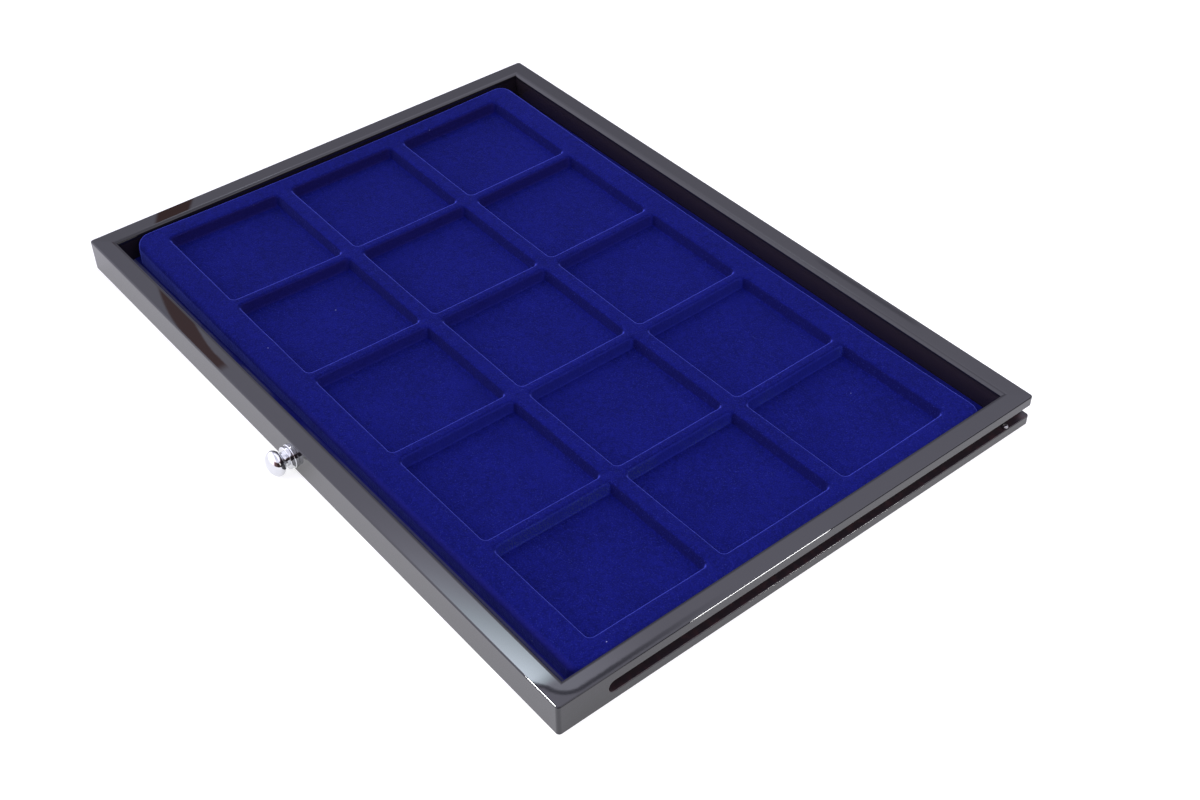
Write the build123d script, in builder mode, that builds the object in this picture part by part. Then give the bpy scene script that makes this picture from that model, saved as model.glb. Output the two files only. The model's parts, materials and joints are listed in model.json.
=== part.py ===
from build123d import *
import os

# Drawer tray of a collector's cabinet: a lacquered frame that slides on side runners, and a loose
# moulded insert of square recesses. Millimetres. The origin is the middle of the frame's underside.
# +X runs along the long rails, +Y from the knob towards the back, +Z up.

os.makedirs("parts", exist_ok=True)

# Frame
frame_width = 312.0  # along the long rails
frame_depth = 223.5  # front face to back face, without the knob
frame_height = 13.5
rail_width = 8.5
corner_radius = 1.4  # upright outer corners
edge_radius = 0.5  # top outer edges
foot_radius = 0.3  # bottom outer edges
rim_radius = 1.8  # top inner edges

# Runner grooves in the two side rails
groove_height = 5.2
groove_depth = 4.0
groove_lip = 4.3  # wood above the groove
groove_stop = 20.4  # wood in front of the groove's round end
groove_edge_radius = 0.35

# Loose tongues that lock the mitres
key_length = 5.0  # along the mitre
key_span = 4.0  # across the mitre, half in each rail
key_thickness = 1.5
key_cover = 1.4  # wood above the tongue

# Base panel, let into a rebate from below
panel_thickness = 2.0
rebate_width = 3.0
panel_play = 0.2  # at each edge of the panel

# Stop pins, driven into the lower lip of each groove
pin_setback = 12.0  # from the back face
pin_inset = 1.5  # from the side face
pin_shank_radius = 0.5
pin_cover = 1.2  # wood below the shank
pin_fit = 0.02  # on the radius of its hole
pin_head_radius = 1.1
pin_head_height = 0.9
pin_head_edge = 0.7

# Moulded insert: a raised field of recesses on a flat foot that fills the well
left_gap = 0.3
right_gap = 0.1
end_gap = 0.3
front_foot = 5.9  # foot in front of the field
back_foot = 7.4
foot_corner_radius = 4.0
insert_drop = 4.1  # rim of the frame down to the top of the insert
sheet_thickness = 1.0
field_corner_radius = 6.0
shoulder_radius = 1.6
skirt_draft = 2.0  # degrees
columns = 5
rows = 3
side_margin = 9.2  # field's edge to the first recess, along X
end_margin = 12.0  # the same, along Y
column_wall = 4.3  # between recesses, along X
row_wall = 6.6  # the same, along Y
recess_depth = 5.3
recess_corner_radius = 2.2
recess_draft = 8.0  # degrees
recess_rim_radius = 1.2
recess_floor_radius = 0.8

# Knob
knob_offset = 0.5  # axis to the right of the middle
knob_projection = 9.9  # front face to the tip
head_radius = 5.05
head_thickness = 6.7
neck_radius = 2.9
base_radius = 4.5
base_thickness = 1.7
base_edge_radius = 0.3
rosette_radius = 4.75
rosette_thickness = 0.8
rosette_edge_radius = 0.3

# Machine screw that holds the knob, from inside the frame. Its head sets the height of the knob
screw_head_clearance = 1.1  # above the base panel
screw_radius = 1.5
screw_clearance = 0.1  # on the radius, in the rail and the rosette
screw_thread_play = 0.02  # on the radius, in the knob
screw_engagement = 4.0  # thread inside the knob
screw_tip_room = 0.6
screw_head_radius = 2.7
screw_head_height = 1.9
screw_head_edge = 0.6
screw_head_play = 0.4  # round the head, in its counterbore
screw_head_sink = 0.3  # below the face of the rail
screw_slot_width = 0.7
screw_slot_depth = 0.8

well_width = frame_width - 2 * rail_width
well_depth = frame_depth - 2 * rail_width
groove_top = frame_height - groove_lip
groove_bottom = groove_top - groove_height
pin_shank_length = groove_bottom - pin_cover
key_bottom = frame_height - key_cover - key_thickness
mitre_x = frame_width / 2 - rail_width / 2
mitre_y = frame_depth / 2 - rail_width / 2
front_face = -frame_depth / 2
knob_height = panel_thickness + screw_head_clearance + screw_head_radius

# Each corner: name, signs of X and Y, and the direction of its mitre
corners = [
    ("front_left", -1, -1, 45),
    ("front_right", 1, -1, 135),
    ("back_left", -1, 1, 135),
    ("back_right", 1, 1, 45),
]


# The joined frame: rebate, grooves and tongue pockets are cut across the mitres before it is divided
with BuildPart() as joined_frame:
    Box(frame_width, frame_depth, frame_height, align=(Align.CENTER, Align.CENTER, Align.MIN))
    fillet(joined_frame.edges().filter_by(Axis.Z), corner_radius)
    fillet(joined_frame.faces().sort_by(Axis.Z)[-1].edges(), edge_radius)
    fillet(joined_frame.faces().sort_by(Axis.Z)[0].edges(), foot_radius)
    with BuildSketch():
        Rectangle(well_width, well_depth)
    extrude(amount=frame_height, mode=Mode.SUBTRACT)
    fillet(joined_frame.faces().sort_by(Axis.Z)[-1].inner_wires().edges(), rim_radius)
    with BuildSketch():
        Rectangle(well_width + 2 * rebate_width, well_depth + 2 * rebate_width)
    extrude(amount=panel_thickness, mode=Mode.SUBTRACT)
    for side in (-1, 1):
        with BuildSketch(Plane.YZ.offset(side * frame_width / 2)) as groove_profile:
            end_radius = groove_height / 2
            with Locations((front_face + groove_stop + end_radius, (groove_top + groove_bottom) / 2)):
                Circle(end_radius)
                Rectangle(frame_depth, groove_height, align=(Align.MIN, Align.CENTER))
        extrude(amount=-side * groove_depth, mode=Mode.SUBTRACT)
        fillet(
            joined_frame.faces()
            .filter_by(Axis.X)
            .sort_by(Axis.X)[0 if side < 0 else -1]
            .edges()
            .filter_by_position(Axis.Z, groove_bottom - 0.01, groove_top + 0.01)
            .filter_by_position(Axis.Y, front_face + groove_stop - 0.01, frame_depth / 2),
            groove_edge_radius,
        )
        pin_x = side * (frame_width / 2 - pin_inset)
        with Locations((pin_x, frame_depth / 2 - pin_setback, groove_bottom)):
            Hole(pin_shank_radius + pin_fit, pin_shank_length)
    for name, x_sign, y_sign, turn in corners:
        with Locations(Location((x_sign * mitre_x, y_sign * mitre_y, key_bottom), (0, 0, turn))):
            Box(
                key_length,
                key_span,
                key_thickness,
                align=(Align.CENTER, Align.CENTER, Align.MIN),
                mode=Mode.SUBTRACT,
            )
    with Locations(Location((knob_offset, front_face + rail_width, knob_height), (-90, 0, 0))):
        CounterBoreHole(
            screw_radius + screw_clearance,
            screw_head_radius + screw_head_play,
            screw_head_height + screw_head_sink,
            rail_width,
        )


# Rails: the frame divided along its mitres, by wedges that reach into the open well
reach = 2 * rail_width
half_width = frame_width / 2
half_depth = frame_depth / 2
for name, side in (("front_rail", -1), ("back_rail", 1)):
    with BuildPart() as rail:
        add(joined_frame.part)
        with BuildSketch():
            with BuildLine():
                Polyline(
                    (-half_width, side * half_depth),
                    (half_width, side * half_depth),
                    (half_width - reach, side * (half_depth - reach)),
                    (-half_width + reach, side * (half_depth - reach)),
                    close=True,
                )
            make_face()
        extrude(amount=frame_height, mode=Mode.INTERSECT)
    rail.part.label = name
    export_step(rail.part, f"parts/{name}.step")

for name, side in (("left_rail", -1), ("right_rail", 1)):
    with BuildPart() as rail:
        add(joined_frame.part)
        with BuildSketch():
            with BuildLine():
                Polyline(
                    (side * half_width, -half_depth),
                    (side * half_width, half_depth),
                    (side * (half_width - reach), half_depth - reach),
                    (side * (half_width - reach), -half_depth + reach),
                    close=True,
                )
            make_face()
        extrude(amount=frame_height, mode=Mode.INTERSECT)
    rail.part.label = name
    export_step(rail.part, f"parts/{name}.step")


# Tongues in the mitres
for name, x_sign, y_sign, turn in corners:
    with BuildPart() as corner_key:
        with Locations(Location((x_sign * mitre_x, y_sign * mitre_y, key_bottom), (0, 0, turn))):
            Box(key_length, key_span, key_thickness, align=(Align.CENTER, Align.CENTER, Align.MIN))
    corner_key.part.label = f"corner_key_{name}"
    export_step(corner_key.part, f"parts/corner_key_{name}.step")


# Base panel, flush with the underside
with BuildPart() as base_panel:
    with BuildSketch():
        Rectangle(
            well_width + 2 * (rebate_width - panel_play),
            well_depth + 2 * (rebate_width - panel_play),
        )
    extrude(amount=panel_thickness)
base_panel.part.label = "base_panel"
export_step(base_panel.part, "parts/base_panel.step")


# Stop pins: a shank in the lower lip and a domed head on the floor of the groove
for name, side in (("stop_pin_left", -1), ("stop_pin_right", 1)):
    pin_x = side * (half_width - pin_inset)
    pin_y = half_depth - pin_setback
    with BuildPart() as stop_pin:
        with BuildSketch(Plane.XY.offset(groove_bottom)):
            with Locations((pin_x, pin_y)):
                Circle(pin_shank_radius)
        extrude(amount=-pin_shank_length)
        with BuildSketch(Plane.XY.offset(groove_bottom)):
            with Locations((pin_x, pin_y)):
                Circle(pin_head_radius)
        extrude(amount=pin_head_height)
        fillet(stop_pin.faces().sort_by(Axis.Z)[-1].edges(), pin_head_edge)
    stop_pin.part.label = name
    export_step(stop_pin.part, f"parts/{name}.step")


# Insert: one moulded sheet. The outer shape comes first, then the recesses, then the hollow underneath
insert_width = well_width - left_gap - right_gap
insert_depth = well_depth - 2 * end_gap
insert_x = (left_gap - right_gap) / 2
field_depth = insert_depth - front_foot - back_foot
field_y = (front_foot - back_foot) / 2
insert_bottom = panel_thickness
foot_top = insert_bottom + sheet_thickness
insert_top = frame_height - insert_drop
insert_height = insert_top - insert_bottom
recess_width = (insert_width - 2 * side_margin - (columns - 1) * column_wall) / columns
recess_length = (field_depth - 2 * end_margin - (rows - 1) * row_wall) / rows
pitch_x = recess_width + column_wall
pitch_y = recess_length + row_wall

with BuildPart() as recess_shells:
    with BuildSketch(Plane.XY.offset(insert_top)):
        with Locations((insert_x, field_y)):
            with GridLocations(pitch_x, pitch_y, columns, rows):
                RectangleRounded(
                    recess_width + 2 * sheet_thickness,
                    recess_length + 2 * sheet_thickness,
                    recess_corner_radius + sheet_thickness,
                )
    extrude(amount=-(recess_depth + sheet_thickness), taper=recess_draft)

with BuildPart() as insert_hollow:
    with BuildSketch(Plane.XY.offset(insert_bottom)):
        with Locations((insert_x, field_y)):
            RectangleRounded(
                insert_width - 2 * sheet_thickness,
                field_depth - 2 * sheet_thickness,
                field_corner_radius - sheet_thickness,
            )
    extrude(amount=insert_height - sheet_thickness, taper=skirt_draft)
    fillet(insert_hollow.faces().sort_by(Axis.Z)[-1].edges(), shoulder_radius - sheet_thickness)

with BuildPart() as insert_tray:
    with BuildSketch(Plane.XY.offset(insert_bottom)):
        with Locations((insert_x, 0)):
            RectangleRounded(insert_width, insert_depth, foot_corner_radius)
    extrude(amount=sheet_thickness)
    with BuildSketch(Plane.XY.offset(foot_top)):
        with Locations((insert_x, field_y)):
            RectangleRounded(insert_width, field_depth, field_corner_radius)
    extrude(amount=insert_top - foot_top, taper=skirt_draft)
    fillet(insert_tray.faces().sort_by(Axis.Z)[-1].edges(), shoulder_radius)
    add(insert_hollow.part, mode=Mode.SUBTRACT)
    add(recess_shells.part)
    with BuildSketch(Plane.XY.offset(insert_top)):
        with Locations((insert_x, field_y)):
            with GridLocations(pitch_x, pitch_y, columns, rows):
                RectangleRounded(recess_width, recess_length, recess_corner_radius)
    extrude(amount=-recess_depth, taper=recess_draft, mode=Mode.SUBTRACT)
    fillet(insert_tray.faces().sort_by(Axis.Z)[-1].inner_wires().edges(), recess_rim_radius)
    recess_floors = insert_tray.faces().filter_by(
        lambda face: face.normal_at().Z > 0.99
        and abs(face.center().Z - (insert_top - recess_depth)) < 0.01
    )
    fillet(recess_floors.edges(), recess_floor_radius)
insert_tray.part.label = "insert_tray"
export_step(insert_tray.part, "parts/insert_tray.step")


# Knob, rosette and screw: profiles turned about an axis that points forward out of the front rail.
# A profile's x runs forward from the front face and its y is the radius
turning_axis = Axis((knob_offset, front_face, knob_height), (0, -1, 0))
turning_plane = Plane(origin=turning_axis.position, x_dir=(0, -1, 0), z_dir=(-1, 0, 0))
hole_radius = screw_radius + screw_clearance
thread_radius = screw_radius + screw_thread_play
base_front = rosette_thickness + base_thickness
head_centre = knob_projection - head_thickness / 2
screw_tip = rosette_thickness + screw_engagement
seat = screw_head_height + screw_head_sink - rail_width

with BuildPart() as knob_rosette:
    with BuildSketch(turning_plane):
        with Locations((0, hole_radius)):
            Rectangle(
                rosette_thickness,
                rosette_radius - hole_radius,
                align=(Align.MIN, Align.MIN),
            )
    revolve(axis=turning_axis)
    fillet(knob_rosette.edges().group_by(Axis.Y)[0].sort_by(SortBy.RADIUS)[-1], rosette_edge_radius)
knob_rosette.part.label = "knob_rosette"
export_step(knob_rosette.part, "parts/knob_rosette.step")

with BuildPart() as knob:
    with BuildSketch(turning_plane) as knob_profile:
        with Locations((head_centre, 0)):
            Ellipse(head_thickness / 2, head_radius)
        with Locations((rosette_thickness, 0)):
            Rectangle(
                head_centre - rosette_thickness,
                neck_radius,
                align=(Align.MIN, Align.MIN),
            )
            Rectangle(base_thickness, base_radius, align=(Align.MIN, Align.MIN))
        with Locations((0, -head_radius)):
            Rectangle(2 * knob_projection, head_radius, align=(Align.MIN, Align.MIN), mode=Mode.SUBTRACT)
    revolve(axis=turning_axis)
    with BuildSketch(turning_plane):
        Rectangle(screw_tip + screw_tip_room, thread_radius, align=(Align.MIN, Align.MIN))
    revolve(axis=turning_axis, mode=Mode.SUBTRACT)
    base_edges = knob.edges().filter_by(GeomType.CIRCLE).filter_by(
        lambda edge: abs(edge.radius - base_radius) < 0.001
    )
    fillet(base_edges, base_edge_radius)
knob.part.label = "knob"
export_step(knob.part, "parts/knob.step")

with BuildPart() as knob_screw:
    with BuildSketch(turning_plane):
        with Locations((seat, 0)):
            Rectangle(screw_tip - seat, screw_radius, align=(Align.MIN, Align.MIN))
            Rectangle(screw_head_height, screw_head_radius, align=(Align.MAX, Align.MIN))
    revolve(axis=turning_axis)
    fillet(knob_screw.edges().group_by(Axis.Y)[-1], screw_head_edge)
    with BuildSketch(Plane.XZ.offset(screw_head_sink - rail_width - front_face)):
        with Locations((knob_offset, knob_height)):
            Rectangle(2 * screw_head_radius, screw_slot_width)
    extrude(amount=screw_slot_depth, mode=Mode.SUBTRACT)
knob_screw.part.label = "knob_screw"
export_step(knob_screw.part, "parts/knob_screw.step")
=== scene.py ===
import json
import math
import bmesh
import bpy
from mathutils import Matrix, Vector, noise


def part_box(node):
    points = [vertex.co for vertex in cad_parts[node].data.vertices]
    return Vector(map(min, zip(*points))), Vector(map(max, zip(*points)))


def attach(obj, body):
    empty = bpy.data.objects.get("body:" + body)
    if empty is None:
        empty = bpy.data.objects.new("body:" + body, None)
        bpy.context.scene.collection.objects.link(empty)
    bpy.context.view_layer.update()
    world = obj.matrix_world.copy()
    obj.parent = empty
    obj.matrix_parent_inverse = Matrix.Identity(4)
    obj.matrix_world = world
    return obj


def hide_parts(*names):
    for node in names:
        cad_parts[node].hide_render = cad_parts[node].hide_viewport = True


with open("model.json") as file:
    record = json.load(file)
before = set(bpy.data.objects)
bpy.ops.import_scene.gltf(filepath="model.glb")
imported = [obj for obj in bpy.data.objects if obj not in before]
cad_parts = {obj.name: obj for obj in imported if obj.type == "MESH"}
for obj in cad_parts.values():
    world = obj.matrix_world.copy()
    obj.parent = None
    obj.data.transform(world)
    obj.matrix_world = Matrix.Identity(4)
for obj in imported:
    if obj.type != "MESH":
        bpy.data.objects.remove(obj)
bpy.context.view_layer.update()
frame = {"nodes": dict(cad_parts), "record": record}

nodes = frame["nodes"]
mm = 0.001
hair = 0.001 * mm  # heights closer than this are the same
nearly = 0.9  # the part of a direction along an axis that counts as on it
print("frame loaded with", len(nodes), "pieces")


class Wire:  # one output of a node, so that sums on it can be written out
    def __init__(self, finish, socket):
        self.finish = finish
        self.socket = socket

    def __add__(self, other):
        return self.finish.calc("ADD", self, other)

    def __sub__(self, other):
        return self.finish.calc("SUBTRACT", self, other)

    def __rsub__(self, other):
        return self.finish.calc("SUBTRACT", other, self)

    def __mul__(self, other):
        return self.finish.calc("MULTIPLY", self, other)

    def __truediv__(self, other):
        return self.finish.calc("DIVIDE", self, other)

    def __abs__(self):
        return self.finish.calc("ABSOLUTE", self)

    __radd__ = __add__
    __rmul__ = __mul__


class Finish:  # the node tree of a material, or of the room that lights the tray
    def __init__(self, owner):
        self.owner = owner
        self.owner.use_nodes = True
        self.tree = self.owner.node_tree
        self.tree.nodes.clear()

    def add(self, kind, settings=None, values=None, out=0):
        node = self.tree.nodes.new(kind)
        for key, value in (settings or {}).items():
            setattr(node, key, value)
        for key, value in (values or {}).items():
            if isinstance(value, Wire):
                self.tree.links.new(value.socket, node.inputs[key])
            else:
                node.inputs[key].default_value = value
        return Wire(self, node.outputs[out]) if node.outputs else None

    def calc(self, operation, a, b=0.0):
        return self.add("ShaderNodeMath", {"operation": operation}, {0: a, 1: b})

    def least(self, a, b):
        return self.calc("MINIMUM", a, b)

    def most(self, a, b):
        return self.calc("MAXIMUM", a, b)

    def between(self, value, low, high):  # 0 below low, 1 above high, smooth in between
        how = {"interpolation_type": "SMOOTHSTEP"}
        return self.add("ShaderNodeMapRange", how, {"Value": value, "From Min": low, "From Max": high})

    def mix(self, factor, a, b):
        return self.add("ShaderNodeMix", {"data_type": "RGBA"}, {0: factor, 6: a, 7: b}, out=2)

    def grain(self, place, scale, detail=2.0):
        values = {"Vector": place, "Scale": scale, "Detail": detail}
        return self.add("ShaderNodeTexNoise", None, values)

    def axes(self, vector):
        split = self.add("ShaderNodeSeparateXYZ", None, {"Vector": vector})
        return [Wire(self, out) for out in split.socket.node.outputs]

    def bump(self, height, distance, below=None):
        values = {"Height": height, "Distance": distance}
        if below:
            values["Normal"] = below
        return self.add("ShaderNodeBump", None, values)

    def coat(self, values):  # the last step of a material
        shader = self.add("ShaderNodeBsdfPrincipled", None, values)
        self.add("ShaderNodeOutputMaterial", None, {"Surface": shader})
        return self.owner


def newFinish(name):
    finish = Finish(bpy.data.materials.new(name))
    return finish, finish.add("ShaderNodeTexCoord", out=3)


def inMetres(values):
    return [v * mm for v in values]


# black polished lacquer, thin and brownish inside the runner grooves
lacquer = {
    "black": (0.006, 0.006, 0.0085, 1),
    "roughness": 0.012,
    "ior": 1.52,
    "waves": 0.000004,  # depth of the slow waves in the polish, metres
    "waveScale": 30,
    "peel": 0.0000002,  # depth of the orange peel, metres
    "peelScale": 700,
    "dust": (2400, 0.70, 0.78),  # scale, and the part of the noise that is a speck
    "dustRoughness": 0.12,
    "grooveBrown": (0.0085, 0.004, 0.0075, 1),
    "grooveRust": (0.022, 0.008, 0.011, 1),
    "rust": (420, 0.45, 0.7),  # scale, and the part of the noise that is rusty
    "grooveRoughness": 0.42,
    "grooveGrain": 240,  # how much coarser than the peel
    "grooveX": (151.8, 155.9),  # mm from the middle of the tray
    "grooveZ": (3.9, 9.3),
    "grooveFront": -91.6,
    # the well's inner walls: a lighter brownish tone that is a painted reflection, and a less polished
    # surface
    "inside": (0.019, 0.0145, 0.019, 1),
    "insideRoughness": 0.22,
    "well": (147.55, 103.3),  # mm, half the space inside the rails
    "wellTop": (11.0, 12.4),
    "blur": 0.05,  # mm, at the edges of groove and well
}


def makeLacquer():
    finish, place = newFinish("blackLacquer")
    x, y, z = finish.axes(place)
    blur = lacquer["blur"] * mm
    low, high = inMetres(lacquer["grooveX"])
    inGroove = finish.between(abs(x), low - blur, low) * finish.between(abs(x), high + blur, high)
    low, high = inMetres(lacquer["grooveZ"])
    inGroove = inGroove * finish.between(z, low - blur, low) * finish.between(z, high + blur, high)
    start = lacquer["grooveFront"] * mm
    inGroove = inGroove * finish.between(y, start, start + blur)
    halfX, halfY = inMetres(lacquer["well"])
    inWell = finish.between(abs(x), halfX, halfX - blur)
    inWell = inWell * finish.between(abs(y), halfY, halfY - blur)
    low, high = inMetres(lacquer["wellTop"])
    inWell = inWell * finish.between(z, high, low)

    waves = finish.grain(place, lacquer["waveScale"], detail=1.0)
    peel = finish.grain(place, lacquer["peelScale"], detail=1.0)
    scale, low, high = lacquer["dust"]
    dust = finish.between(finish.grain(place, scale, detail=1.0), low, high)
    scale, low, high = lacquer["rust"]
    streaks = finish.grain(place, scale, detail=4.0)
    rust = finish.between(streaks, low, high)
    grooveTone = finish.mix(rust, lacquer["grooveBrown"], lacquer["grooveRust"])
    tone = finish.mix(inGroove, lacquer["black"], grooveTone)
    # painted reflection: the well's inner walls take the lighter brownish tone
    tone = finish.mix(inWell, tone, lacquer["inside"])
    matt = finish.between(inGroove + dust * lacquer["dustRoughness"], 0, 1)
    rough = matt * lacquer["grooveRoughness"] + lacquer["roughness"]
    rough = rough + inWell * lacquer["insideRoughness"]
    slow = finish.bump(waves, lacquer["waves"])
    skin = finish.bump(peel + inGroove * streaks * lacquer["grooveGrain"], lacquer["peel"], slow)
    return finish.coat({"Base Color": tone, "Roughness": rough, "IOR": lacquer["ior"], "Normal": skin})


# short royal blue pile, with a painted sheen that makes it brighter where it is seen edge-on
flock = {
    "deep": (0.0026, 0.0040, 0.072, 1),
    "bright": (0.0054, 0.0077, 0.138, 1),
    "pile": 1500,  # tufts per metre
    "pileDepth": 0.00025,
    "brushed": 45,  # scale of the wide blotches
    "mottle": 420,  # scale of the small ones
    "shares": (0.5, 0.2, 0.3),  # of tufts, wide and small blotches in the shade
    "shade": (0.32, 0.68),
    "mottleDepth": 0.6,  # as a share of the pile's depth
    "roughness": 0.95,
    "gloss": 0.06,
    "sheen": 0.35,
    "sheenRoughness": 0.3,
    "sheenTint": (0.25, 0.32, 1.0, 1),
    # painted sheen on the pile's tips, lit where a face turns away: 0 faces the viewer, 1 is edge-on
    "edge": (0.048, 0.063, 0.46, 1),
    "edgeTurn": (0.46, 0.94),
    "edgeTufts": (0.9, 0.45),
    # recess walls that face +X, painted shaded at the left end and lit at the right
    "wallLeftShaded": (0.0125, 0.0105, 0.102, 1),
    "wallRightLit": (0.0155, 0.022, 0.255, 1),
    "wallFrom": (-140, 100),  # mm along the tray
    "wallTurn": (0.45, 0.9),
    # painted shade on the recess walls that face the front
    "wallBackShaded": (0.0042, 0.0047, 0.068, 1),  # walls that face the front
    "wallBackTurn": (-0.6, -0.9),
    "wallBackFrom": (-90, -85),
    "wallShade": 0.3,  # how much of the shade a wall keeps
    # dust and painted glints of side-lit fibres on the walls that face +X
    "dustAndLitFibres": (0.032, 0.05, 0.17, 1),
    "dustAndLitFibresFrom": (15, 90),
    "specks": (2400, 0.5, 0.6),  # scale, and the part of the noise that shows
    "patches": (60, 0.38, 0.56),
    "speckShare": 0.8,
    "glitter": (0.03, 0.04, 0.24, 1),
    "glitterGrain": (2700, 0.63, 0.73),
    "glitterShare": 0.55,
    # where the foot meets the raised field in front: a paler line along the foot, partly grey dust and
    # partly painted light in the front rail's shade
    "dustAndLightLine": (0.062, 0.065, 0.12, 1),
    "dustAndLightLineY": (-99.9, -99.2, -98.2, -97.6),
    "dustAndLightLineGaps": (25, 0.36, 0.5),
    # a lighter band on the front slope, painted light that lifts the shade behind the front rail, more
    # towards the right
    "frontRoll": (0.014, 0.0145, 0.17, 1),
    "frontRollY": (-99.5, -98.5, -96.5, -94.5),
    "frontRollX": (-90, 60),
    "frontRollShare": 0.65,
    "lint": (0.3, 0.33, 0.55, 1),
    "lintCells": 210,  # places for a bit of lint, per metre
    "lintSize": (0.05, 0.03),
    "lintPick": (0.974, 0.979),  # the share of the places that stay empty
}


def makeFlock():
    finish, place = newFinish("blueFlock")
    x, y = finish.axes(place)[:2]
    facing = finish.axes(finish.add("ShaderNodeNewGeometry", out=1))

    def spots(key, detail):  # the part of a noise that lies above a threshold
        scale, low, high = flock[key]
        return finish.between(finish.grain(place, scale, detail), low, high)

    def strip(value, key):  # rises between the first two places, falls between the last two
        rise, start, end, fall = inMetres(flock[key])
        return finish.between(value, rise, start) * finish.between(value, fall, end)

    tufts = finish.grain(place, flock["pile"], detail=2.0)
    brushed = finish.grain(place, flock["brushed"], detail=3.0)
    mottle = finish.grain(place, flock["mottle"], detail=3.0)
    fine, wide, small = flock["shares"]
    shade = finish.between(tufts * fine + brushed * wide + mottle * small, *flock["shade"])
    tone = finish.mix(shade, flock["deep"], flock["bright"])

    keep = flock["wallShade"]
    # painted light and shade on recess walls that face +X, darker at the left end and lighter at the
    # right
    wall = finish.between(facing[0], *flock["wallTurn"])
    along = finish.between(x, *inMetres(flock["wallFrom"]))
    paintedWallLight = finish.mix(along, flock["wallLeftShaded"], flock["wallRightLit"])
    tone = finish.mix(wall * (shade * keep + (1 - keep)), tone, paintedWallLight)
    # painted shade on recess walls that face the front
    backWallShade = finish.between(facing[1], *flock["wallBackTurn"])
    backWallShade = backWallShade * finish.between(y, *inMetres(flock["wallBackFrom"]))
    tone = finish.mix(backWallShade * (1.0 - shade * keep), tone, flock["wallBackShaded"])
    # specks on the +X walls of the right-hand columns, partly dust and partly painted glints of side-lit
    # fibres
    specks = spots("specks", detail=2.0) * spots("patches", detail=2.0) * wall
    specks = specks * finish.between(x, *inMetres(flock["dustAndLitFibresFrom"])) * flock["speckShare"]
    tone = finish.mix(specks, tone, flock["dustAndLitFibres"])
    tone = finish.mix(spots("glitterGrain", detail=1.0) * flock["glitterShare"], tone, flock["glitter"])

    # painted light on the front slope, lifting the shade behind the front rail, more towards the right
    front = strip(y, "frontRollY") * finish.between(x, *inMetres(flock["frontRollX"]))
    tone = finish.mix(front * flock["frontRollShare"], tone, flock["frontRoll"])
    # a paler line along the foot, partly grey dust and partly painted light in the front rail's shade
    tone = finish.mix(strip(y, "dustAndLightLineY") * spots("dustAndLightLineGaps", detail=2.0), tone, flock["dustAndLightLine"])

    # painted sheen: the pile is lighter where a face is seen edge-on
    turned = finish.add("ShaderNodeLayerWeight", {}, {"Blend": 0.5}, out=1)
    gain, base = flock["edgeTufts"]
    edge = finish.between(turned, *flock["edgeTurn"]) * (tufts * gain + base)
    tone = finish.mix(edge, tone, flock["edge"])

    cells = {"Vector": place, "Scale": flock["lintCells"]}
    middle = finish.add("ShaderNodeTexVoronoi", None, cells)
    pick = finish.axes(finish.add("ShaderNodeTexVoronoi", None, cells, out=1))[0]
    lint = finish.between(middle, *flock["lintSize"]) * finish.between(pick, *flock["lintPick"])
    tone = finish.mix(lint, tone, flock["lint"])
    fuzz = finish.bump(tufts + mottle * flock["mottleDepth"], flock["pileDepth"])
    return finish.coat({
        "Base Color": tone, "Roughness": flock["roughness"], "Specular IOR Level": flock["gloss"],
        "Normal": fuzz, "Sheen Weight": flock["sheen"], "Sheen Roughness": flock["sheenRoughness"],
        "Sheen Tint": flock["sheenTint"],
    })


# the board under the insert
board = {
    "dark": (0.008, 0.007, 0.007, 1),
    "pale": (0.02, 0.018, 0.017, 1),
    "fibres": 900,
    "paleFrom": (0.35, 0.7),
    "roughness": (0.45, 0.2),  # least, and what the fibres add
    "relief": 0.00002,
}


def makeBoard():
    finish, place = newFinish("blackBoard")
    fibres = finish.grain(place, board["fibres"], detail=4.0)
    tone = finish.mix(finish.between(fibres, *board["paleFrom"]), board["dark"], board["pale"])
    least, more = board["roughness"]
    relief = finish.bump(fibres, board["relief"])
    return finish.coat({"Base Color": tone, "Roughness": fibres * more + least, "Normal": relief})


# the loose tongues in the mitres
beech = {
    "dark": (0.36, 0.22, 0.12, 1),
    "pale": (0.5, 0.34, 0.2, 1),
    "rays": 1500,
    "rings": 4200,
    "ringWobble": 3,
    "roughness": 0.6,
    "relief": 0.00002,
}


def makeBeech():
    finish, place = newFinish("bareBeech")
    x, y = finish.axes(place)[:2]
    rays = finish.grain(place, beech["rays"], detail=3.0)
    rings = finish.calc("SINE", (x + y) * beech["rings"] + rays * beech["ringWobble"])
    tone = finish.mix(finish.between(rings, -1, 1), beech["dark"], beech["pale"])
    relief = finish.bump(rays, beech["relief"])
    return finish.coat({"Base Color": tone, "Roughness": beech["roughness"], "Normal": relief})


# knob and rosette
chrome = {
    "dark": (0.56, 0.57, 0.59, 1),
    "pale": (0.66, 0.67, 0.68, 1),
    "smear": 350,
    "smearFrom": (0.4, 0.75),
    "roughness": (0.035, 0.07),  # least, and what a smear adds
    "relief": 0.00001,
}


def makeChrome():
    finish, place = newFinish("polishedChrome")
    smear = finish.grain(place, chrome["smear"], detail=2.0)
    least, more = chrome["roughness"]
    rough = finish.between(smear, *chrome["smearFrom"]) * more + least
    tone = finish.mix(smear, chrome["dark"], chrome["pale"])
    relief = finish.bump(smear, chrome["relief"])
    return finish.coat({"Base Color": tone, "Metallic": 1.0, "Roughness": rough, "Normal": relief})


# stop pins and the knob's screw
steel = {
    "tone": (0.52, 0.52, 0.53, 1),
    "scratches": 1800,
    "roughness": (0.18, 0.25),  # least, and what the scratches add
    "relief": 0.00001,
}


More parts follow.
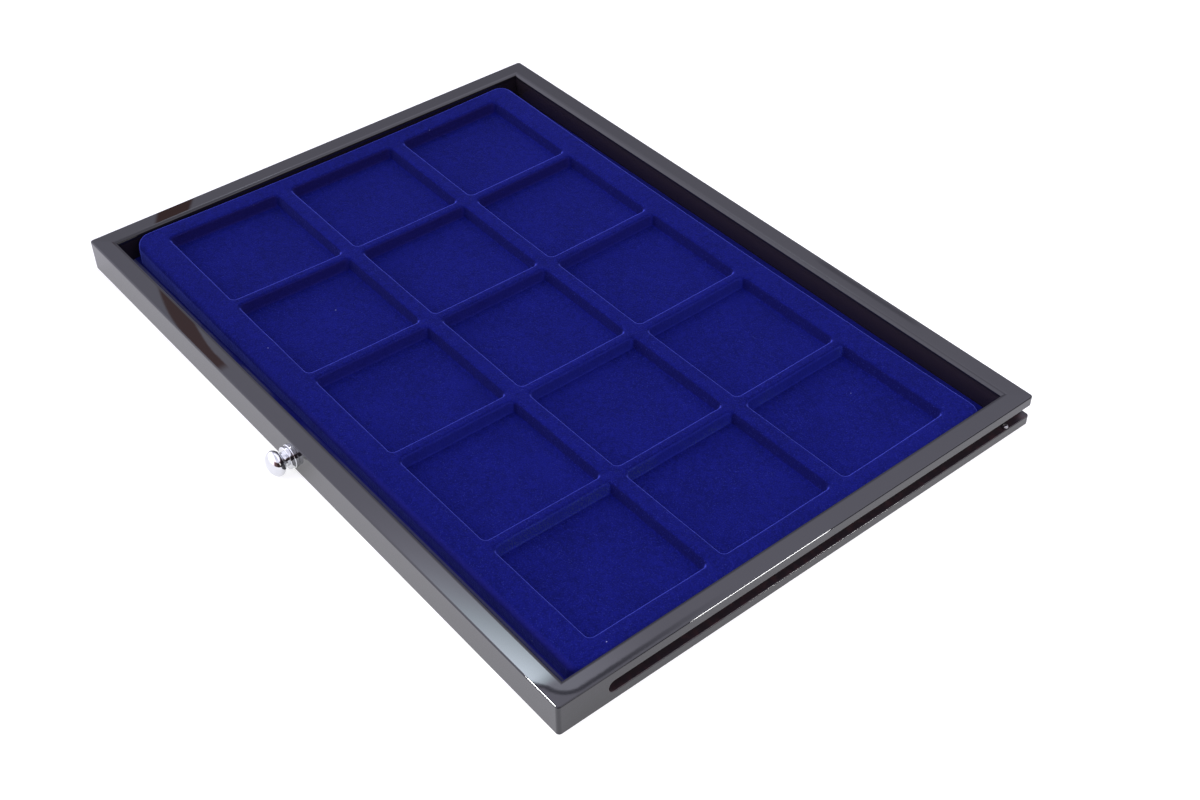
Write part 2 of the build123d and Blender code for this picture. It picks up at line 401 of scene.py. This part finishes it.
def makeSteel():
    finish, place = newFinish("brightSteel")
    scratches = finish.grain(place, steel["scratches"], detail=3.0)
    least, more = steel["roughness"]
    return finish.coat({
        "Base Color": steel["tone"], "Metallic": 1.0, "Roughness": scratches * more + least,
        "Normal": finish.bump(scratches, steel["relief"]),
    })


finishes = {
    "lacquer": makeLacquer(), "flock": makeFlock(), "panel": makeBoard(),
    "tongue": makeBeech(), "chrome": makeChrome(), "steel": makeSteel(),
}
for part in frame["record"]["subparts"]:
    piece = nodes[part["node"]]
    piece.data.materials.clear()
    piece.data.materials.append(finishes[part["material_slot"]])
print("finishes made:", ", ".join(finishes))


def onlySelect(pieces):
    bpy.ops.object.select_all(action="DESELECT")
    for piece in pieces:
        piece.select_set(True)
    bpy.context.view_layer.objects.active = pieces[0]


def choose(kind, test):  # selects what passes the test, in edit mode
    bpy.ops.mesh.select_mode(type=kind)
    bpy.ops.mesh.select_all(action="DESELECT")
    mesh = bmesh.from_edit_mesh(bpy.context.edit_object.data)
    for item in {"EDGE": mesh.edges, "FACE": mesh.faces}[kind]:
        if test(item):
            item.select_set(True)
    mesh.select_flush_mode()
    bmesh.update_edit_mesh(bpy.context.edit_object.data)


def startBox(name, low, high):
    bpy.ops.object.select_all(action="DESELECT")
    bpy.ops.mesh.primitive_cube_add(size=1, location=(Vector(low) + Vector(high)) / 2)
    piece = bpy.context.object
    piece.name = piece.data.name = name
    piece.scale = Vector(high) - Vector(low)
    bpy.ops.object.transform_apply(location=True, rotation=True, scale=True)
    bpy.ops.object.mode_set(mode="EDIT")
    return piece


def narrow(face, amount):  # draws the edges of a flat level face in by the same amount on each side
    low, high = face
    size = Vector(high) - Vector(low)
    centre = (Vector(low) + Vector(high)) / 2
    value = (1 - 2 * amount / size.x, 1 - 2 * amount / size.y, 1)
    bpy.ops.transform.resize(value=value, center_override=centre)


def facesUp(face):
    return face.normal.z > nearly


def facesDown(face):
    return face.normal.z < -nearly


def upright(edge):
    a, b = [v.co for v in edge.verts]
    return abs(a.z - b.z) > nearly * (a - b).length


def atHeight(edge, height):
    return all(abs(v.co.z - height) < hair for v in edge.verts)


def slopeIn(depth, degrees):
    return depth * math.tan(math.radians(degrees))


# the flocked insert, in mm: a thin moulded sheet that sags in the middle and curls up at its left end
tray = {
    "columns": 5, "rows": 3,
    "pitch": (56.1, 58.4),
    "recess": 51.8,
    "recessDepth": 5.3,
    "recessDraft": 8,  # degrees
    "recessCorner": 2.2,
    "recessRim": 1.2,
    "recessFloor": 1.0,
    "corner": 6.0,
    "foot": (5.9, 7.4),  # flat border in front of the raised field, and behind it
    "shoulder": 1.6,
    "skirtDraft": 2,  # degrees
    "sheet": 0.6,
    "cornerSteps": 8, "shoulderSteps": 6, "floorSteps": 3, "rimSteps": 4,  # faces round each edge
    "mesh": 2.5,  # spacing of the cuts that let the sheet bend and wave
    "cuts": 19,  # across one recess
    "blockTop": 1.0,  # what is cut away reaches this far above the field
    "underside": 0.1,  # what lies this close to the foot is the open underside
    "weld": 0.01,
    # rise in mm at x and y in decimetres: 1, x, y, x x, x y, y y
    "bend": (-1.15, -0.8, -0.5, 0.83, 0.126, 1.47),
    "bendStart": (2.7, 4.2),  # the foot stays on the board
    "frontRoll": (9.0, 2.0),  # how wide the front border slopes down, and how far
    "wave": 0.13,  # how far the edges wander
    "waveLength": 13,
    "waveSeed": 3,  # any whole number but 0, which would follow the clock
    "waveEnds": 0.141,  # metres from the middle, where the wandering stops
    "smoothAngle": 40,  # degrees
}


def recessCuts():  # places of the cuts across one recess, from its middle
    step = tray["mesh"] * mm
    reach = step * (tray["cuts"] - 1) / 2
    return [-reach + step * i for i in range(tray["cuts"])]


def cutAcross(places, axis):
    direction = Vector([float(i == axis) for i in range(3)])
    for place in places:
        bpy.ops.mesh.select_all(action="SELECT")
        bpy.ops.mesh.bisect(plane_co=direction * place, plane_no=direction)


def makeField(low, high, spots):  # the raised field as a rounded block, cut to bend
    field = startBox("flockedInsert", low, high)
    choose("FACE", facesUp)
    narrow((low, high), slopeIn(high.z - low.z, tray["skirtDraft"]))
    choose("EDGE", upright)
    bpy.ops.mesh.bevel(offset=tray["corner"] * mm, segments=tray["cornerSteps"], profile=0.5)
    choose("EDGE", lambda edge: atHeight(edge, high.z))
    bpy.ops.mesh.bevel(offset=tray["shoulder"] * mm, segments=tray["shoulderSteps"], profile=0.5)
    for axis in (0, 1):
        middles = sorted({spot[axis] for spot in spots})
        cutAcross([middle + k for middle in middles for k in recessCuts()], axis)
    bpy.ops.object.mode_set(mode="OBJECT")
    return field


def makeRecessBlocks(top, spots):  # what is taken out of the field, one block for each recess
    half = tray["recess"] * mm / 2
    depth = tray["recessDepth"] * mm
    first = startBox("recessBlock", (-half, -half, top - depth), (half, half, top))
    choose("FACE", facesDown)
    bottom = ((-half, -half, top - depth), (half, half, top - depth))
    narrow(bottom, slopeIn(depth, tray["recessDraft"]))
    choose("EDGE", upright)
    bpy.ops.mesh.bevel(offset=tray["recessCorner"] * mm, segments=tray["cornerSteps"], profile=0.5)
    choose("EDGE", lambda edge: atHeight(edge, top - depth))
    bpy.ops.mesh.bevel(offset=tray["recessFloor"] * mm, segments=tray["floorSteps"], profile=0.5)
    choose("FACE", facesUp)
    bpy.ops.mesh.extrude_region_move(TRANSFORM_OT_translate={"value": (0, 0, tray["blockTop"] * mm)})
    for axis in (0, 1):
        cutAcross(recessCuts(), axis)
    bpy.ops.object.mode_set(mode="OBJECT")
    blocks = []
    for x, y in spots:
        onlySelect([first])
        bpy.ops.object.duplicate()
        copy = bpy.context.object
        copy.location = (x, y, 0)
        bpy.ops.object.transform_apply(location=True)
        blocks.append(copy)
    bpy.data.objects.remove(first)
    onlySelect(blocks)
    bpy.ops.object.join()
    return bpy.context.object


def bendSheet(sheet, front):
    noise.seed_set(tray["waveSeed"])
    flat, bent = inMetres(tray["bendStart"])
    width, drop = tray["frontRoll"]
    rollStart = front + width * mm
    for point in sheet.data.vertices:
        x, y, z = point.co
        u, v = x * 10, y * 10
        rise = sum(k * t for k, t in zip(tray["bend"], (1, u, v, u * u, u * v, v * v)))
        drift = noise.noise_vector(Vector((x, y, z)) / (tray["waveLength"] * mm))
        if abs(x) < tray["waveEnds"]:
            point.co.x += drift.x * tray["wave"] * mm
            point.co.y += drift.y * tray["wave"] * mm
        rise -= drop * max(0, (rollStart - y) / (rollStart - front)) ** 2
        point.co.z += rise * mm * min(1, max(0, (z - flat) / (bent - flat)))


def makeTray():
    footLow, high = [Vector(v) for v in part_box("insert_tray")]
    footHigh = high.copy()
    low = footLow + Vector((0, tray["foot"][0], tray["sheet"])) * mm
    high.y -= tray["foot"][1] * mm
    centre = (low + high) / 2
    pitch = inMetres(tray["pitch"])
    columns = [centre.x + (i - (tray["columns"] - 1) / 2) * pitch[0] for i in range(tray["columns"])]
    rows = [centre.y + (j - (tray["rows"] - 1) / 2) * pitch[1] for j in range(tray["rows"])]
    spots = [(x, y) for y in rows for x in columns]

    sheet = makeField(low, high, spots)
    blocks = makeRecessBlocks(high.z, spots)
    onlySelect([sheet])
    carve = sheet.modifiers.new("carve", "BOOLEAN")
    carve.object = blocks
    carve.operation = "DIFFERENCE"
    carve.solver = "EXACT"
    bpy.ops.object.modifier_apply(modifier="carve")
    bpy.data.objects.remove(blocks)

    def underside(face):
        return facesDown(face) and face.calc_center_median().z < low.z + tray["underside"] * mm

    def frontOrBack(edge):  # edges of the open underside that the flat foot grows from
        a, b = [v.co for v in edge.verts]
        return edge.is_boundary and abs(a.x - b.x) > tray["weld"] * mm

    def onRim(edge):
        if len(edge.link_faces) != 2 or not atHeight(edge, high.z):
            return False
        wallUp, fieldUp = sorted(face.normal.z for face in edge.link_faces)
        return wallUp < 0.5 and fieldUp > nearly

    bpy.ops.object.mode_set(mode="EDIT")
    choose("FACE", underside)
    bpy.ops.mesh.delete(type="FACE")
    choose("EDGE", frontOrBack)
    bpy.ops.mesh.extrude_region_move()
    stretch = (footHigh.y - footLow.y) / (high.y - low.y)
    still = (0, (stretch * low.y - footLow.y) / (stretch - 1), 0)
    bpy.ops.transform.resize(value=(1, stretch, 1), center_override=still)
    bpy.ops.mesh.select_all(action="SELECT")
    bpy.ops.mesh.remove_doubles(threshold=tray["weld"] * mm)
    bpy.ops.object.mode_set(mode="OBJECT")
    wall = sheet.modifiers.new("wall", "SOLIDIFY")
    wall.thickness = tray["sheet"] * mm
    wall.offset = -1
    wall.use_even_offset = True
    bpy.ops.object.modifier_apply(modifier="wall")

    bpy.ops.object.mode_set(mode="EDIT")
    choose("EDGE", onRim)
    bpy.ops.mesh.bevel(offset=tray["recessRim"] * mm, segments=tray["rimSteps"], profile=0.5)
    bpy.ops.object.mode_set(mode="OBJECT")
    bendSheet(sheet, low.y)
    bpy.ops.object.shade_smooth_by_angle(angle=math.radians(tray["smoothAngle"]))
    return sheet


insert = makeTray()
insert.data.materials.clear()
insert.data.materials.append(finishes["flock"])
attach(insert, "insert")
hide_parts("insert_tray")
print("insert modelled with", len(insert.data.polygons), "faces")


# a pale floor that glows a little less towards the left
floorLook = {
    "size": 12,
    "drop": 0.1,  # mm below the tray
    "tone": (0.5, 0.5, 0.5, 1),
    "fibres": 300,
    "fibreShade": 0.985,
    "roughness": 0.9,
    "gloss": 0.2,
    "glow": 0.77,
    "glowLeft": (0.76, 0.76, 0.76, 1),
    "glowFrom": (100, -190),  # mm
}


def makeFloor():
    bpy.ops.object.select_all(action="DESELECT")
    bpy.ops.mesh.primitive_plane_add(size=floorLook["size"], location=(0, 0, -floorLook["drop"] * mm))
    floor = bpy.context.object
    floor.name = floor.data.name = "floor"
    finish, place = newFinish("palePaper")
    fibres = finish.grain(place, floorLook["fibres"], detail=3.0)
    shaded = [v * floorLook["fibreShade"] for v in floorLook["tone"][:3]] + [1]
    tone = finish.mix(fibres, shaded, floorLook["tone"])
    x = finish.axes(place)[0]
    left = finish.between(x, *inMetres(floorLook["glowFrom"]))
    shine = finish.mix(left, (1, 1, 1, 1), floorLook["glowLeft"])
    floor.data.materials.append(finish.coat({
        "Base Color": tone, "Roughness": floorLook["roughness"],
        "Specular IOR Level": floorLook["gloss"],
        "Emission Color": shine, "Emission Strength": floorLook["glow"],
    }))


# the room is a bright tent overhead that ends in darker walls; heights are those of a ray, 0 level
# and 1 straight up, and places on the ceiling are u = x / z and v = y / z of a ray
room = {
    "tint": (1.0, 0.98, 1.17, 1),
    "wallGlow": 0.5,
    "overhead": (0.35, 0.45),  # heights where the ceiling's details fade in
    "levelHeight": 0.02,  # lowest height that u and v are worked out for
    # ceiling: how it brightens with height, and its glow nearer than the panel
    "ceilingStart": 0.335,
    "ceilingGain": 4.35,
    "zenith": (1.93, 0.8, 2.7),  # brightest glow, the height where it starts to fall, and how fast
    "frontDim": (0.68, 0.36, 0.47),  # brightness, v from, to
    # wall in front of the tray
    "frontGlow": 2.1,
    "frontWay": (-0.5, -0.85),
    "frontTurn": (-0.05, 0.45),
    "frontHeight": (-0.2, 0.1),
    # dark side behind the camera
    "behind": (0.1, 0.0, 0.35, 0.68, 0.56),  # brightness, x from, to, height from, to
    "behindTone": (1.0, 0.52, 0.5, 1),
    "behindShare": 0.8,
    # bright panel
    "panel": (-1.0, 0.34, 4.3, 3.3),  # along u: start, width, brightness, sharpness
    "panelDepth": (0.505, 0.447),  # along v
    "panelEnd": (-0.634, -0.652),
    "panelTint": (1.0, 1.13, 1.27, 1),
    "panelTintFrom": (0.0, 2.0),
    "spill": (0.5, 0.58, 0.47),  # soft light round the panel: brightness, v from, to
    "spillFrom": (-0.76, -0.66),
    # seam, the rounded edge of the tent
    "seam": (-0.6195, 0.464, 0.02, 0.0015),  # u, v, rounding, half its width
    "seamSlope": (-0.637, 0.6),
    "seamWidths": (2.2, 0.6, 0.5),  # outer, inner and past the edge, in half widths
    "seamFade": (0.66, 0.5),
    "seamDark": 0.68,
    # brown beam along the left wall
    "beam": (0.462, 1.65, -1.15, 0.07, 0.0045),  # v, curve, where it bends, widths
    "beamEnd": (-1.118, -1.132),
    "beamSoft": (1.15, 0.85),
    "beamTone": (0.38, 0.20, 0.14, 1),
    # thin dark line far back
    "streak": (1.006, -0.9, -0.74, 0.35),  # v, u from, to, strength
    "streakWidth": (0.0035, 0.0015),
    "streakFade": 0.03,
}


def makeRoom():
    world = bpy.data.worlds.new("room")
    bpy.context.scene.world = world
    sky = Finish(world)
    x, y, z = sky.axes(sky.add("ShaderNodeTexCoord"))
    up = sky.most(z, room["levelHeight"])
    u = x / up
    v = y / up
    overhead = sky.between(z, *room["overhead"])

    frontX, frontY = room["frontWay"]
    front = sky.between(x * frontX + y * frontY, *room["frontTurn"])
    front = front * sky.between(z, *room["frontHeight"]) * room["frontGlow"]
    brightest, bend, fall = room["zenith"]
    rising = (z - room["ceilingStart"]) * room["ceilingGain"]
    ceiling = sky.least(rising, brightest - (z - bend) * fall)
    ceiling = sky.least(ceiling, brightest)
    least, near, far = room["frontDim"]
    ceiling = ceiling * (sky.between(v, near, far) * (1 - least) + least)
    glow = sky.most(sky.most(ceiling, room["wallGlow"]), front)
    least, start, full, top, under = room["behind"]
    dark = sky.between(x, start, full) * sky.between(z, top, under)
    glow = glow * (1 - dark * (1 - least))

    start, width, gain, sharpness = room["panel"]
    ramp = sky.most(sky.least((u - start) / width, 1.0), 0.0)
    ramp = sky.calc("POWER", ramp, sharpness)
    panel = ramp * gain * sky.between(v, *room["panelDepth"]) * sky.between(u, *room["panelEnd"])
    spill, far, near = room["spill"]
    panel = panel + sky.between(v, far, near) * sky.between(u, *room["spillFrom"]) * spill

    edgeU, edgeV, rounding, half = room["seam"]
    turn, slope = room["seamSlope"]
    outer, inner, past = room["seamWidths"]
    lean = sky.most(turn - u, 0.0) * slope
    a = sky.most(u - (edgeU - rounding), 0.0)
    b = sky.most((edgeV + rounding) - v - lean, 0.0)
    reach = sky.calc("SQRT", a * a + b * b) - rounding
    panel = panel * (1 - sky.between(reach, -half, half * past)) * overhead
    glow = glow * (panel + 1)
    seam = sky.between(abs(reach), half * outer, half * inner)
    seam = seam * sky.between(v, *room["seamFade"]) * overhead
    glow = glow * (1 - seam * room["seamDark"])

    line, low, high, strength = room["streak"]
    fade = room["streakFade"]
    streak = sky.between(abs(v - line), *room["streakWidth"]) * sky.between(u, low, low + fade)
    streak = streak * sky.between(u, high, high - fade)
    glow = glow * (1 - streak * overhead * strength)

    middle, curve, turn, spread, width = room["beam"]
    soft, hard = room["beamSoft"]
    bow = sky.most(turn - u, 0.0)
    away = abs(v - (bow * bow * curve + middle))
    thick = bow * spread + width
    beam = sky.between(away, thick * soft, thick * hard) * sky.between(u, *room["beamEnd"]) * overhead

    color = sky.mix(sky.between(panel, *room["panelTintFrom"]), room["tint"], room["panelTint"])
    color = sky.mix(beam, color, room["beamTone"])
    color = sky.mix(dark * room["behindShare"], color, room["behindTone"])
    light = sky.add("ShaderNodeBackground", None, {"Color": color, "Strength": glow})
    sky.add("ShaderNodeOutputWorld", None, {"Surface": light})


# the first two draw the thin glints on one rail each; targets in mm, the rest in metres and watts
lamps = {
    "cornerLamp": {
        "target": (151, -111.5, 13), "direction": (-0.497, -0.37, 0.785), "distance": 1.6,
        "power": 24.0, "width": 0.5, "length": 0.075, "along": (1, 0, 0), "lit": ["front_rail"],
    },
    "sideLamp": {
        "target": (156, -24, 13), "direction": (0.807, 0.495, 0.319), "distance": 1.6,
        "power": 26.0, "width": 0.5, "length": 0.21, "along": (0, 1, 0), "lit": ["right_rail"],
    },
    "lowLamp": {
        "target": (0, -20, 8), "direction": (0.9, 0.05, 0.42), "distance": 0.6,
        "power": 0.2, "width": 0.22, "length": 0.22, "along": (0, 1, 0), "lit": [],
    },
}


def makeLamp(name, values):
    direction = Vector(values["direction"]).normalized()
    place = Vector(values["target"]) * mm + direction * values["distance"]
    bpy.ops.object.light_add(type="AREA", location=place)
    lamp = bpy.context.object
    lamp.name = name
    lamp.data.shape = "RECTANGLE"
    lamp.data.size = values["length"]
    lamp.data.size_y = values["width"]
    lamp.data.energy = values["power"]
    edge = Vector(values["along"])
    along = (edge - direction * direction.dot(edge)).normalized()
    turn = Matrix((along, direction.cross(along), direction)).transposed()
    lamp.rotation_mode = "QUATERNION"
    lamp.rotation_quaternion = turn.to_quaternion()
    if values["lit"]:
        group = bpy.data.collections.new(name + "Lights")
        for piece in values["lit"]:
            group.objects.link(nodes[piece])
        lamp.light_linking.receiver_collection = group


camera = {
    "place": (404.0, -296.1, 416.7),
    "looksAt": (55.5, -12.3, 13.5),
    "roll": -0.466,  # degrees
    "lens": 49.26,
    "nearest": 0.01,  # metres
}


def makeCamera():
    view = bpy.data.cameras.new("camera")
    view.lens = camera["lens"]
    view.clip_start = camera["nearest"]
    eye = bpy.data.objects.new("camera", view)
    bpy.context.collection.objects.link(eye)
    place, target = [Vector(camera[key]) * mm for key in ("place", "looksAt")]
    turn = (target - place).to_track_quat("-Z", "Y").to_matrix()
    turn = turn @ Matrix.Rotation(math.radians(camera["roll"]), 3, "Z")
    eye.matrix_world = Matrix.Translation(place) @ turn.to_4x4()
    bpy.context.scene.camera = eye


makeFloor()
makeRoom()
for name, values in lamps.items():
    makeLamp(name, values)
makeCamera()
bpy.context.scene.view_settings.view_transform = "Standard"
print("floor, room, lamps and camera ready")
